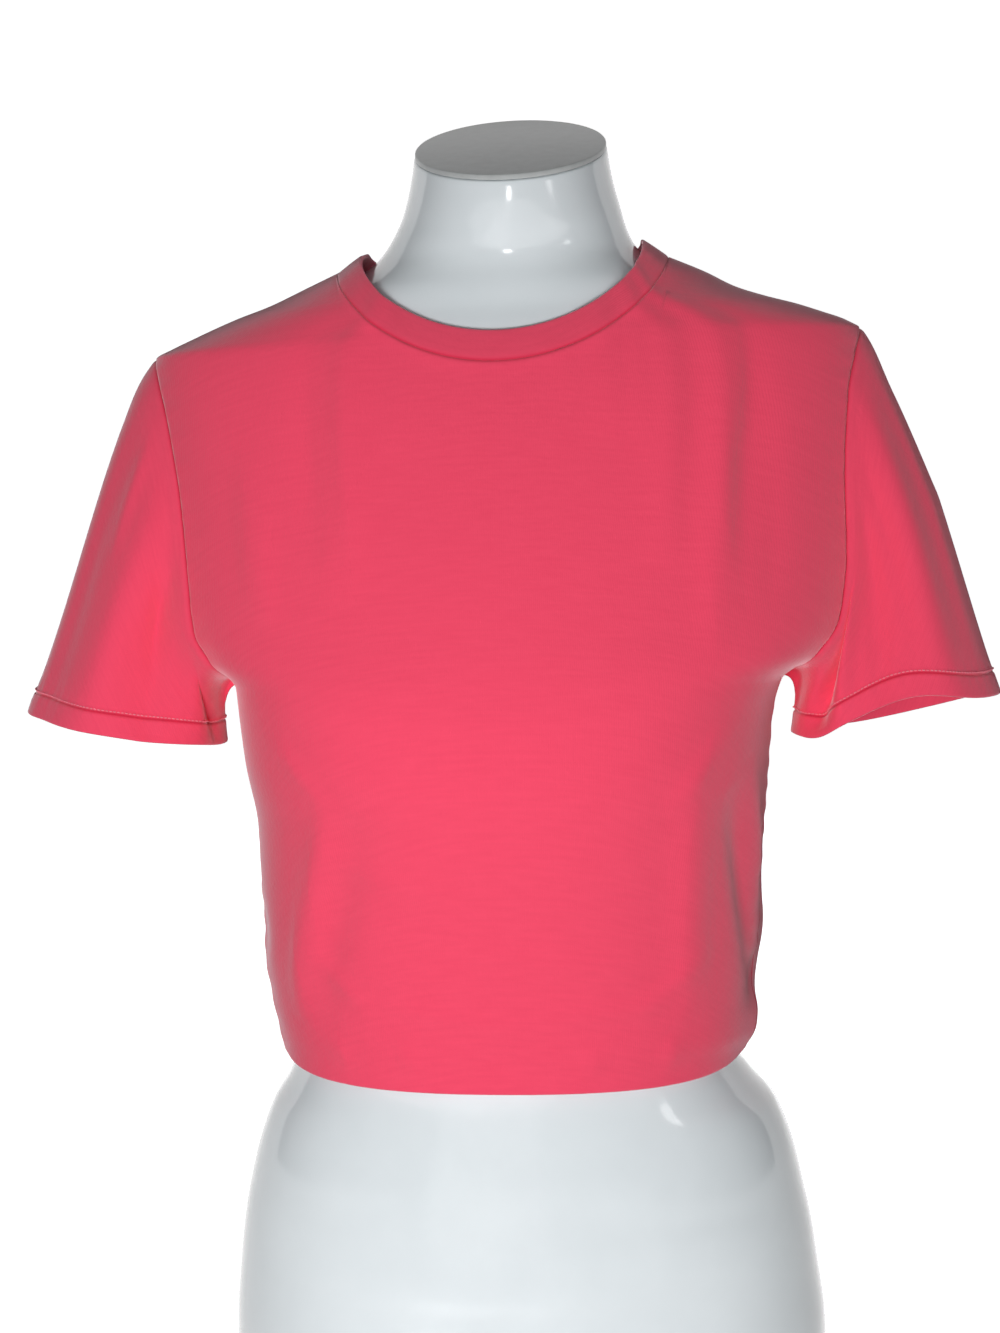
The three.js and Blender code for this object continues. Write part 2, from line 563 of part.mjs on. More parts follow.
// A closed solid through a stack of rings, with a flat end at the bottom and at the top.
function stackGeometry(rings) {
  const columns = rings[0].length;
  const positions = rings.flat().flatMap((p) => [p.x, p.y, p.z]);
  const indices = [];
  for (let i = 0; i + 1 < rings.length; i++)
    for (let j = 0; j < columns; j++) {
      const [a, b] = [i * columns + j, i * columns + ((j + 1) % columns)];
      indices.push(a, b, b + columns, a, b + columns, a + columns);
    }
  const addEnd = (ring, start, facingUp) => {
    const middle = ring.reduce((sum, p) => sum.add(p), new THREE.Vector3()).divideScalar(columns);
    const centre = positions.length / 3;
    positions.push(middle.x, middle.y, middle.z);
    for (let j = 0; j < columns; j++) {
      const [a, b] = [start + j, start + ((j + 1) % columns)];
      if (facingUp) indices.push(a, b, centre);
      else indices.push(b, a, centre);
    }
  };
  addEnd(rings[0], 0, false);
  addEnd(rings[rings.length - 1], (rings.length - 1) * columns, true);
  const geometry = new THREE.BufferGeometry();
  geometry.setAttribute("position", new THREE.Float32BufferAttribute(positions, 3));
  geometry.setIndex(indices);
  geometry.computeVertexNormals();
  return geometry;
}

const clothMaterial = new THREE.MeshStandardMaterial({ color: 0xe2486c, roughness: 0.75, metalness: 0 });
const formMaterial = new THREE.MeshStandardMaterial({ color: 0xe9eef0, roughness: 0.15, metalness: 0 });
const capMaterial = new THREE.MeshStandardMaterial({ color: 0x8f9390, roughness: 0.5, metalness: 0 });

const top = new THREE.Group();
const form = new THREE.Group();
const addPiece = (group, name, geometry, material) => {
  const mesh = new THREE.Mesh(geometry, material);
  mesh.name = name;
  group.add(mesh);
};

// The crop top
const front = panelRows("front");
const back = panelRows("back");
const neckband = neckbandRows(necklineRing(front, back));
const sleeveLeft = sleeveRows(armholeRing(front, back, PANEL_COLUMNS), "left");
const sleeveRight = sleeveRows(armholeRing(front, back, 0), "right");

const normals = new Map();
addNormals(normals, front, false, false);
addNormals(normals, back, false, true);
addNormals(normals, neckband, true, true);
addNormals(normals, sleeveLeft, true, false);
addNormals(normals, sleeveRight, true, true);

const panelWall = (i) => (i < 2 ? HEM_WALL : CLOTH_WALL);
const sleeveWall = (i) => (i >= sleeveLeft.length - 2 ? HEM_WALL : CLOTH_WALL);
const bandWall = () => HEM_WALL;
const panelEdges = { first: false, last: true, sides: true, thickness: panelWall };
const sleeveEdges = { closed: true, first: true, last: false, sides: false, thickness: sleeveWall };
const bandEdges = { closed: true, first: true, last: false, sides: false, thickness: bandWall };

addPiece(top, "front_panel", wallGeometry(front, normals, { ...panelEdges, flip: false }), clothMaterial);
addPiece(top, "back_panel", wallGeometry(back, normals, { ...panelEdges, flip: true }), clothMaterial);
const leftWall = wallGeometry(sleeveLeft, normals, { ...sleeveEdges, flip: false });
addPiece(top, "sleeve_left", leftWall, clothMaterial);
const rightWall = wallGeometry(sleeveRight, normals, { ...sleeveEdges, flip: true });
addPiece(top, "sleeve_right", rightWall, clothMaterial);
addPiece(top, "neckband", wallGeometry(neckband, normals, { ...bandEdges, flip: true }), clothMaterial);

// The dress form and the plate on its neck
const formRings = formSections.map((section) => formRing(section, 0));
addPiece(form, "dress_form", stackGeometry(formRings), formMaterial);
const lastSection = formSections[formSections.length - 1];
const plateRings = [PART_GAP, PART_GAP + NECK_PLATE_THICKNESS].map((rise) =>
  formRing({ ...lastSection, z: lastSection.z + rise }, NECK_PLATE_INSET),
);
addPiece(form, "neck_plate", stackGeometry(plateRings), capMaterial);

const part = new THREE.Group();
part.add(top, form);
export default part;
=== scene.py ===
"""A coral pink, short-sleeved crop top of stretch knit on a glossy white, limbless dress form.

The shapes come from the same tables and formulas as the solids, in millimetres, and are turned into
metres when the meshes are made. +Z is up, the front faces -Y and the wearer's left is +X.
"""

import math

import bpy
import numpy as np
from mathutils import Matrix, Vector


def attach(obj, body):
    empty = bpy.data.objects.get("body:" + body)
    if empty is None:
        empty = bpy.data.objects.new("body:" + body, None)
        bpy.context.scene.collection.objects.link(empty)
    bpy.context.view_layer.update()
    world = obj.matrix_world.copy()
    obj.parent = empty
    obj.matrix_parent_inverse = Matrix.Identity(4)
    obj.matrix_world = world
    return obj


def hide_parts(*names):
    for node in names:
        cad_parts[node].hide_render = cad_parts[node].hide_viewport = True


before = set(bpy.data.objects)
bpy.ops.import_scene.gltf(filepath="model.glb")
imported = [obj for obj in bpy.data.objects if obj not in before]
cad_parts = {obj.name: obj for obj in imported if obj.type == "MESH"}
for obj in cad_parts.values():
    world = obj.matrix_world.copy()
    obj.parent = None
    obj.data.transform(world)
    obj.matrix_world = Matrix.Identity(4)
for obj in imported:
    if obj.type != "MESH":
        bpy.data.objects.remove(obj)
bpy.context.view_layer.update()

# Driving dimensions, in millimetres
CLOTH_WALL = 1.2
HEM_WALL = 2.2
BODY_HEM_DEPTH = 16.0
SLEEVE_HEM_DEPTH = 13.0
HEM_HEIGHT = 231.0
HEM_DROP = {"front": 8.0, "back": 2.0}
UNDERARM_HEIGHT = 438.0
SHOULDER_X, SHOULDER_Z = 198.0, 627.0
NECK_X, NECK_Z = 92.0, 671.0
NECK_DROP = {"front": 58.0, "back": 17.0}
NECK_CURVE_POWER = 0.65
NECK_SHARE = 0.6
BODY_RADIUS = 130.0
BAND_WIDTH = 17.5
BAND_LEAN = {"side": 37.0, "front": 68.0, "back": 62.0}
FOLD_RUN_SCALE = 100.0
RING_STEPS = 12  # the armhole's parameter runs from 0 at the underarm to 12 at the shoulder
PLATE_THICKNESS = 3.0
PART_GAP = 0.3
SEAM_ROLL = (0.55, 2.2)  # height of the roll of cloth beside a seam, and its distance from it
FORM_BASE_ROUND, FORM_TOP_ROUND = 2.5, 1.2
PLATE_INSET, PLATE_LOW_ROUND, PLATE_HIGH_ROUND = 0.4, 0.3, 0.9

# The middle, half sizes and tilt of each cuff's oval, and its waves: turn, rise, half turn
CUFFS = {
    "left": dict(
        x=218.8, y=2, z=419, half_width=58.5, half_depth=45, rise=11,
        waves=((88, 11, 34), (142, -4, 22), (270, -7, 55)),
    ),
    "right": dict(
        x=220.3, y=2, z=412.5, half_width=57, half_depth=45, rise=9.5,
        waves=((90, -1.5, 50), (270, 3, 55)),
    ),
}
# How a sleeve's points leave the armhole and arrive at the cuff: out, up, out, up
TRAVEL_TOP = (95, -85, 62, -160)
TRAVEL_UNDER = (34, 4, -6, -42)

# Height, half width on the wearer's left and right, depth in front and behind, and the section's power
CLOTH_SECTIONS = np.array([
    (220, 132, 130, 95, 86, 2.3), (232, 134, 131, 95, 86.5, 2.3), (243, 138, 133.5, 95.5, 87, 2.3),
    (266, 139.5, 138, 97, 87, 2.3), (289, 141, 141.5, 100, 87.5, 2.3), (312, 142, 142, 104, 88, 2.3),
    (357, 144, 143, 114, 91, 2.35), (395, 146.5, 149, 120, 95, 2.5), (420, 149, 151.5, 119.5, 97, 2.62),
    (438, 154, 153, 117, 98, 2.75), (454, 180, 171, 114, 99, 2.4), (471, 193, 184, 110, 100, 2.2),
    (505, 199, 192, 102, 100, 2.12), (545, 201, 195.5, 92.5, 97, 2.14),
    (590, 201.5, 198, 82.5, 87, 2.18), (613, 200.5, 199, 77, 80, 2.16), (627, 198, 198, 73.5, 75, 2.12),
    (632, 190, 188.5, 72, 73, 2.1), (637, 177, 177, 71, 71, 2.08), (642, 163, 165, 70, 69, 2.06),
    (647, 146, 152, 69, 67.5, 2.04), (653, 129, 134, 68, 66, 2.02), (662, 112, 113, 66.5, 63, 1.98),
    (671, 92, 92, 65, 60, 1.95),
])
# Height and the side seam's angle from the middle of the front, on the wearer's left and right
SIDE_SEAMS = np.array([
    (220, 76, 76), (243, 79, 79), (270, 83, 80), (300, 79, 85), (345, 79, 88), (395, 87, 90),
    (438, 90, 90),
])
# Height and the armhole's distance from the middle, on the wearer's left and right
ARMHOLES = np.array([
    (438, 154, 153), (454, 172, 163), (471, 183, 171.5), (505, 187, 174.5), (545, 186, 178.5),
    (590, 188.5, 187), (613, 193.5, 193.5), (627, 198, 198),
])
# Height, half width, depth in front and behind, place of the middle in x and y, slope
FORM_SECTIONS = np.array([
    (0, 164.5, 103, 111, 9.5, 0, 0), (4, 168.5, 107, 115, 9.5, 0, 0), (14, 170.5, 109, 117, 9.5, 0, 0),
    (72, 169.5, 108, 120, 9, 0, 0), (107, 166, 104, 115, 8, 0, 0), (130, 163, 101, 109, 7.5, 0, 0),
    (152, 158.6, 98, 101, 7, 0, 0), (175, 153, 95, 94, 7, 0, 0), (198, 144, 92, 87, 6.5, 0, 0),
    (214, 132.5, 90, 83, 4.5, 0, 0), (229, 125.5, 89, 81, 2.2, 0, 0), (266, 128, 91, 81, 1, 0, 0),
    (312, 132, 97, 83, 1, 0, 0), (357, 137, 108, 87, 0.5, 0, 0), (395, 141, 115, 91, 0, 0, 0),
    (438, 146, 112, 94, 0, 0, 0), (480, 151, 104, 95.5, 0, 0, 0), (545, 165, 88, 92.5, 0, 0, 0),
    (590, 177, 78, 82.5, 0, 0, 0), (614, 179, 72.5, 75.5, 0, 0, 0), (626, 175.5, 68.6, 71.5, 0, 0, 0),
    (635, 165.5, 65.5, 68, 0, 0, 0), (643.5, 144, 62.4, 63.4, 0, 0, 0),
    (654.5, 115.5, 60.5, 59.5, 0.5, 0, 0), (666, 88.5, 58, 55, 1.2, -0.5, 0.03),
    (676, 73.5, 56.5, 52.5, 2, -2, 0.08), (688, 65.5, 55, 53, 3.2, -5, 0.16),
    (702, 60, 54, 53.5, 4.5, -8, 0.27), (717, 56, 53.5, 54, 4.5, -10.5, 0.36),
    (732, 53.5, 53.5, 54, 4.5, -12, 0.44),
])

# Folds of the body, as in the solids: from (along, z) to (along, z), height, half width
FRONT_FOLDS = (
    (76, 664, 76, 455, 4.5, 8), (55, 660, 56, 500, 3, 8), (93, 640, 89, 500, -2, 9),
    (34, 640, 34, 570, 1.6, 7), (-51, 660, -51, 490, 3.2, 8), (-66, 640, -65, 510, -2, 9),
    (-97, 570, -96, 475, 2, 8), (-78, 385, -125, 255, 3.8, 11), (-60, 375, -104, 250, -2.5, 13),
    (92, 400, 96, 255, 3.5, 13), (122, 385, 165, 275, -4, 11), (142, 400, 186, 300, 3, 10),

)
BACK_FOLDS = (
    (-70, 640, -58, 480, 3, 12), (66, 640, 60, 500, 3, 12), (-150, 420, -60, 320, 4, 14),
    (150, 425, 70, 310, 4, 14), (-165, 320, -80, 262, 3.5, 12), (160, 330, 84, 270, 3.5, 12),
    (8, 430, -4, 250, 5, 16),

)
# Pinches at the side seams: x, y, z, depth, reach
PINCHES = (
    (137, -22, 272, 4.2, 15), (136, 8, 298, -3.2, 20), (134, -18, 247, -2.6, 14),
    (-137, -24, 300, 2.4, 16),
)
# Sleeve folds: from (turn, run) to (turn, run), height, half turn
SLEEVE_FOLDS = {
    "left": ((0, -0.15, 0, 0.5, -4, 45), (62, 0.05, 66, 1.1, 4.5, 14), (104, 0.1, 98, 1.0, -5.5, 15),
             (132, 0.1, 122, 1.2, 5, 10), (152, 0.1, 142, 1.0, -4, 11), (302, 0.1, 292, 1.2, 4, 18),
             (240, 0.2, 252, 1.2, -4, 18)),
    "right": ((2, 0.06, 0, 0.96, -4, 38), (88, 0.1, 70, 1.1, 4.5, 13), (124, 0.0, 106, 1.0, -8, 13),
              (150, 0.1, 142, 1.1, 4, 12), (46, 0.1, 38, 1.2, -3, 13), (300, 0.1, 290, 1.2, 4, 18),
              (236, 0.2, 250, 1.2, -4, 18)),
}

# Finer creases than those in the solids, in the same columns
FRONT_CREASES = (
    (20, 628, 19, 590, 0.8, 4), (44, 640, 45, 560, 0.9, 4), (86, 645, 84, 560, 1.0, 4),
    (-30, 630, -33, 560, 0.7, 5), (-64, 645, -60, 480, 0.9, 4), (-88, 560, -90, 470, 0.8, 5),
    (100, 600, 104, 470, -0.9, 7), (-120, 420, -80, 380, 1.2, 7), (118, 425, 74, 372, 1.4, 8),
    (-60, 270, 20, 256, 0.7, 5), (10, 262, 90, 270, 0.8, 5), (-110, 300, -60, 262, 0.9, 6),
    (112, 300, 60, 262, 1.0, 6), (-20, 300, 70, 288, 0.5, 6), (-90, 350, -20, 330, 0.6, 7),
    (-50, 246, -38, 232, 0.9, 6), (-8, 246, 2, 232, -0.8, 7), (34, 246, 44, 232, 0.9, 6),
    (80, 248, 92, 232, 1.1, 7), (-96, 250, -84, 232, 1.0, 7),

)
BACK_CREASES = (
    (-30, 620, -34, 540, 0.8, 5), (36, 620, 30, 530, 0.8, 5), (-90, 560, -96, 470, 1.2, 7),
    (92, 560, 98, 470, 1.2, 7), (-120, 400, -50, 300, 1.2, 6), (124, 405, 58, 300, 1.2, 6),
    (-60, 250, -48, 232, 0.9, 6), (-10, 252, 2, 232, -0.8, 7), (44, 250, 56, 232, 0.9, 6),
    (-130, 300, -70, 248, 1.0, 6), (128, 306, 70, 250, 1.0, 6),

)
SLEEVE_CREASES = {
    "left": ((131, 0.15, 122, 0.95, 2.2, 4.5), (150, 0.05, 142, 0.95, -4, 9), (82, 0.1, 78, 0.9, -1.5, 6),
             (112, 0.55, 106, 1.1, 1.2, 5), (94, 0.78, 92, 0.98, 0.8, 4), (30, 0.1, 34, 0.9, 1.0, 7)),
    "right": ((112, 0.28, 104, 0.66, -1.8, 9), (98, 0.5, 94, 0.92, -1.4, 9), (140, 0.2, 132, 0.7, -2.5, 7),
              (118, 0.72, 116, 0.96, 1.2, 4), (160, 0.15, 162, 1.05, -3.5, 8), (58, 0.08, 64, 0.5, 1.4, 6)),
}


# Numbers and curves
def smooth_between(low, high, value):
    """3t^2 - 2t^3, where t goes from 0 at low to 1 at high."""
    t = np.clip((value - low) / (high - low), 0, 1)
    return t * t * (3 - 2 * t)


def signed_power(value, power):
    """The size of value to that power, with value's sign."""
    return np.sign(value) * np.abs(value) ** power


def curve(table, column, z):
    """The table's column at height z, on a cubic that never overshoots: its tangents are harmonic means."""
    h, f = table[:, 0], table[:, column]
    slopes = np.diff(f) / np.diff(h)
    product = slopes[:-1] * slopes[1:]
    total = slopes[:-1] + slopes[1:]
    middle = np.where(product > 0, 2 * product / np.where(total == 0, 1, total), 0)
    tangents = np.concatenate([slopes[:1], middle, slopes[-1:]])
    z = np.clip(z, h[0], h[-1])
    i = np.clip(np.searchsorted(h, z, side="left") - 1, 0, len(h) - 2)
    span = h[i + 1] - h[i]
    t = (z - h[i]) / span
    return (
        (1 + 2 * t) * (1 - t) ** 2 * f[i]
        + t * (1 - t) ** 2 * span * tangents[i]
        + t * t * (3 - 2 * t) * f[i + 1]
        + t * t * (t - 1) * span * tangents[i + 1]
    )


def by_hand(table, x, z, left=1, right=2):
    """The left column where x is positive and the right column elsewhere."""
    return np.where(x >= 0, curve(table, left, z), curve(table, right, z))


def lean(points):
    """The shoulders slope: z rises by 0.03 x, from nothing at 340 to all of it at 600."""
    points[..., 2] += 0.03 * points[..., 0] * smooth_between(340, 600, points[..., 2])
    return points


RIDGE_Z = np.linspace(SHOULDER_Z, NECK_Z, 1500)


def ridge_height(x):
    """The height where the cloth sections' half width is |x|."""
    heights = [np.interp(np.abs(x), curve(CLOTH_SECTIONS, k, RIDGE_Z)[::-1], RIDGE_Z[::-1]) for k in (1, 2)]
    return np.where(x >= 0, heights[0], heights[1])


def top_height(side, x):
    """A panel's top edge: neck height less drop (1 - (x / neck)^2)^0.65, and the ridge beside it."""
    inside = np.clip(1 - (x / NECK_X) ** 2, 0, 1)
    neckline = NECK_Z - NECK_DROP[side] * inside**NECK_CURVE_POWER
    return np.where(np.abs(x) >= NECK_X, ridge_height(x), neckline)


def fold_lift(a, b, folds):
    """The sum over folds of height sin(pi t)^0.8 exp(-(across / half width)^2), t along each fold's line."""
    total = np.zeros(np.broadcast(a, b).shape)
    for a0, b0, a1, b1, height, half_width in folds:
        run = (a1 - a0, b1 - b0)
        length = math.hypot(*run)
        t = ((a - a0) * run[0] + (b - b0) * run[1]) / length**2
        across = ((a - a0) * run[1] - (b - b0) * run[0]) / length / half_width
        total += height * np.sin(np.pi * np.clip(t, 0, 1)) ** 0.8 * np.exp(-(across**2))
    return total


def body_point(side, angle, z, extra=()):
    """The superellipse section at z, at angle from the panel's middle, lifted along (sin, cos) by folds."""
    facing = -1.0 if side == "front" else 1.0
    s, c = np.sin(angle), np.cos(angle)
    depth = np.where(c * facing < 0, curve(CLOTH_SECTIONS, 3, z), curve(CLOTH_SECTIONS, 4, z))
    power = 2 / curve(CLOTH_SECTIONS, 5, z)
    x = by_hand(CLOTH_SECTIONS, s, z) * signed_power(s, power)
    y = depth * facing * signed_power(c, power)
    folds = (FRONT_FOLDS if side == "front" else BACK_FOLDS) + tuple(extra)
    lift = fold_lift(angle * BODY_RADIUS, z, folds)
    lift *= 1 - smooth_between(math.radians(72), math.radians(80), np.abs(angle))
    for px, py, pz, depth_in, reach in PINCHES:
        away = ((x - px) ** 2 + (y - py) ** 2 + (z - pz) ** 2) / reach**2
        lift = lift - depth_in * np.exp(-away)
    return lean(np.stack([x + s * lift, y + facing * c * lift, z + 0 * x], axis=-1))


def edge_height(r):
    """The armhole's height at ring parameter r: 438 + 189 sin(t^1.25 pi / 2)^1.1 with t = r / 12."""
    t = np.clip(r / RING_STEPS, 0, 1)
    return UNDERARM_HEIGHT + (SHOULDER_Z - UNDERARM_HEIGHT) * np.sin(t**1.25 * np.pi / 2) ** 1.1


def panel(side, u, h, extra=()):
    """A panel at u from -1 to 1 across and h, the height of the row's ends. Rows rise to the neckline
    and the shoulder ridge. Columns swing from even angles below the arm to straight lines above it."""
    size = np.abs(u)
    neck = NECK_X * np.sin(np.clip(size / NECK_SHARE, 0, 1) * np.pi / 2)
    beside = NECK_X + (SHOULDER_X - NECK_X) * (size - NECK_SHARE) / (1 - NECK_SHARE)
    across = np.sign(u) * np.where(size <= NECK_SHARE, neck, beside) / SHOULDER_X
    rise = smooth_between(UNDERARM_HEIGHT - 30, SHOULDER_Z, h)
    hem_share = 1 - smooth_between(HEM_HEIGHT, HEM_HEIGHT + 100, h)
    climb = rise**1.6 * (top_height(side, across * SHOULDER_X) - SHOULDER_Z)
    z = h + climb - HEM_DROP[side] * hem_share * (1 - u**4)

    def angle_of(share, height):
        return np.arcsin(np.clip(share, 0, 1) ** (curve(CLOTH_SECTIONS, 5, height) / 2))

    seam = np.radians(by_hand(SIDE_SEAMS, u, h))
    below = seam if side == "front" else np.pi - seam
    edge_x = by_hand(ARMHOLES, u, h)
    above = angle_of(edge_x / by_hand(CLOTH_SECTIONS, u, h), h)
    over_arm = h >= UNDERARM_HEIGHT
    even = u * np.where(over_arm, above, below)
    straight = np.sign(u) * angle_of(np.abs(across) * edge_x / by_hand(CLOTH_SECTIONS, u, z), z)
    share = rise * rise * (3 - 2 * rise)
    angle = np.where(over_arm, even + (straight - even) * share, even)
    return body_point(side, angle, z, extra)


def armhole_ring(hand, q):
    """The armhole at q from 0 at the shoulder, 12 at the underarm along the front, to 24 back up the back."""
    sign = 1.0 if hand == "left" else -1.0
    h = edge_height(np.where(q <= RING_STEPS, RING_STEPS - q, q - RING_STEPS))
    u = sign + 0 * q
    return np.where((q <= RING_STEPS)[..., None], panel("front", u, h), panel("back", u, h))


def wrapped(degrees):
    """An angle in degrees brought to between -180 and 180."""
    return (degrees + 540) % 360 - 180


def sleeve(hand, q, run, extra=()):
    """A cubic from the armhole at q to the cuff's tilted oval, at run from 0 to 1, with the sleeve's folds."""
    sign = 1.0 if hand == "left" else -1.0
    cuff = CUFFS[hand]
    degrees = 360 * q / (2 * RING_STEPS)
    turn = np.radians(degrees)
    share = (1 + np.cos(turn)) / 2
    cuff_z = cuff["z"] + cuff["rise"] * np.cos(turn)
    for at, rise, half_turn in cuff["waves"]:
        cuff_z = cuff_z + rise * np.exp(-((wrapped(degrees - at) / half_turn) ** 2))
    end = np.stack([
        sign * (cuff["x"] + cuff["half_width"] * np.cos(turn)),
        cuff["y"] - cuff["half_depth"] * np.sin(turn),
        cuff_z,
    ], -1)
    leave_out, leave_up, arrive_out, arrive_up = (
        low + (high - low) * share for low, high in zip(TRAVEL_UNDER, TRAVEL_TOP)
    )
    leave = np.stack([sign * leave_out, 0 * turn, leave_up], -1)
    arrive = np.stack([sign * arrive_out, 0 * turn, arrive_up], -1)
    t = run[..., None]
    point = (
        armhole_ring(hand, q) * (1 + 2 * t) * (1 - t) ** 2
        + leave * t * (1 - t) ** 2
        + end * t * t * (3 - 2 * t)
        + arrive * t * t * (t - 1)
    )
    lift = np.zeros(point.shape[:-1])
    for t0, r0, t1, r1, height, half_turn in SLEEVE_FOLDS[hand] + tuple(extra):
        line = [(t0, r0 * FOLD_RUN_SCALE, t1, r1 * FOLD_RUN_SCALE, height, half_turn)]
        lift += fold_lift(t0 + wrapped(degrees - t0), run * FOLD_RUN_SCALE, line)
    lift *= smooth_between(0, 0.25, run)
    return point + lift[..., None] * np.stack([sign * np.cos(turn), -np.sin(turn), 0 * turn], -1)


def neck_ring(k):
    """The neckline at k from 0 at the wearer's left neck point, 1 at the right one, to 2 back along the back."""
    u_front = NECK_SHARE * (1 - 2 * k)
    u_back = NECK_SHARE * (2 * k - 3)
    h = SHOULDER_Z + 0 * k
    return np.where((k <= 1)[..., None], panel("front", u_front, h), panel("back", u_back, h))


def band(k, run):
    """The neckband: the neckline moved in towards the neck and up, at an angle that is steepest in front."""
    ring = neck_ring(k)
    front_share = np.sin(np.pi * k)
    end = np.where(front_share > 0, BAND_LEAN["front"], BAND_LEAN["back"])
    tilt = np.radians(BAND_LEAN["side"] + (end - BAND_LEAN["side"]) * np.abs(front_share) ** 1.2)
    inward = np.stack([-ring[..., 0], -ring[..., 1] * 1.3], -1)
    inward /= np.linalg.norm(inward, axis=-1, keepdims=True)
    step = BAND_WIDTH * run
    return np.stack([
        ring[..., 0] + inward[..., 0] * step * np.cos(tilt),
        ring[..., 1] + inward[..., 1] * step * np.cos(tilt),
        ring[..., 2] + step * np.sin(tilt),
    ], -1)


def form_point(turn, z, inset=0.0, lift=0.0):
    """The dress form's superellipse section at height z, tilted by its slope in the neck."""
    half_width, front, back, middle_x, middle_y, slope = (curve(FORM_SECTIONS, k, z) for k in range(1, 7))
    power = 2 / (2.3 - 0.3 * smooth_between(600, 690, z))
    s = np.sin(turn)
    x = (half_width - inset) * signed_power(np.cos(turn), power)
    y = (np.where(s < 0, front, back) - inset) * signed_power(s, power)
    return lean(np.stack([middle_x + x, middle_y + y, z + slope * y + lift + 0 * x], -1))


# Camera, set first
def place_camera():
    """The photo's view: 1.25 m from the body's middle plane, taking in 0.38 m up and down from its aim."""
    distance, pitch, yaw, roll = 1.25, math.radians(4), math.radians(3), math.radians(0.6)
    target = Vector((-0.005, 0, 0.445))
    back = Vector((math.sin(yaw) * math.cos(pitch), -math.cos(yaw) * math.cos(pitch), math.sin(pitch)))
    right = (-back).cross(Vector((0, 0, 1))).normalized()
    up = right.cross(-back)
    across = right * math.cos(roll) - up * math.sin(roll)
    upward = up * math.cos(roll) + right * math.sin(roll)
    data = bpy.data.cameras.new("camera")
    data.sensor_width = 36
    data.lens = 18 * distance / 0.38
    camera = bpy.data.objects.new("camera", data)
    turned = Matrix((across, upward, back)).transposed().to_4x4()
    camera.matrix_world = Matrix.Translation(target + back * distance) @ turned
    bpy.context.scene.collection.objects.link(camera)
    bpy.context.scene.camera = camera


place_camera()


# Meshes
def unit(vectors):
    """Vectors of length 1."""
    return vectors / np.maximum(np.linalg.norm(vectors, axis=-1, keepdims=True), 1e-9)


def along(points, axis):
    """Length along a grid's rows or columns, from their start."""
    steps = np.linalg.norm(np.diff(points, axis=axis), axis=-1)
    start = np.zeros_like(np.take(steps, [0], axis=axis))
    return np.concatenate([start, np.cumsum(steps, axis=axis)], axis=axis)


def grid_normals(points, closed, middle):
    """Unit normals from central differences, facing away from middle. The crosses are averaged with
    their neighbours' before they are scaled, so cells that are pinched at a corner take on the normal
    beside them."""
    down = np.gradient(points, axis=0)
    across = np.roll(points, -1, 1) - np.roll(points, 1, 1) if closed else np.gradient(points, axis=1)
    crosses = np.cross(across, down)
    for _ in range(6):
        wide = np.pad(crosses, ((1, 1), (0, 0), (0, 0)), mode="edge")
        wide = np.pad(wide, ((0, 0), (1, 1), (0, 0)), mode="wrap" if closed else "edge")
        beside = (wide[:-2, 1:-1], wide[2:, 1:-1], wide[1:-1, :-2], wide[1:-1, 2:])
        crosses = sum(beside, wide[1:-1, 1:-1]) / 5
    normals = unit(crosses)
    return normals if np.sum(normals * (points - middle)) > 0 else -normals


def make_object(name, vertices, faces, material, uv=None, seam=None):
    """A smooth-shaded mesh object. Vertices are in millimetres; uv and seam, the painted seam shade, are given
    for each vertex.
    """
    mesh = bpy.data.meshes.new(name)
    mesh.from_pydata((vertices * 0.001).tolist(), [], faces)
    mesh.polygons.foreach_set("use_smooth", np.ones(len(mesh.polygons), bool))
    if uv is not None:
        corner = np.empty(len(mesh.loops), np.int32)
        mesh.loops.foreach_get("vertex_index", corner)
        mesh.uv_layers.new(name="cut").data.foreach_set("uv", (uv[corner] * 0.001).ravel())
    if seam is not None:
        # The seam attribute: painted shade along the seam grooves.
        mesh.attributes.new("seam", "FLOAT", "POINT").data.foreach_set("value", seam)
    mesh.materials.append(material)
    made = bpy.data.objects.new(name, mesh)
    bpy.context.scene.collection.objects.link(made)
    return made


def quads(index, closed_rows, closed_columns):
    """Quads of a grid of vertex numbers."""
    rows = np.vstack([index, index[:1]]) if closed_rows else index
    grid = np.hstack([rows, rows[:, :1]]) if closed_columns else rows
    return np.stack([grid[:-1, :-1], grid[:-1, 1:], grid[1:, 1:], grid[1:, :-1]], -1).reshape(-1, 4)


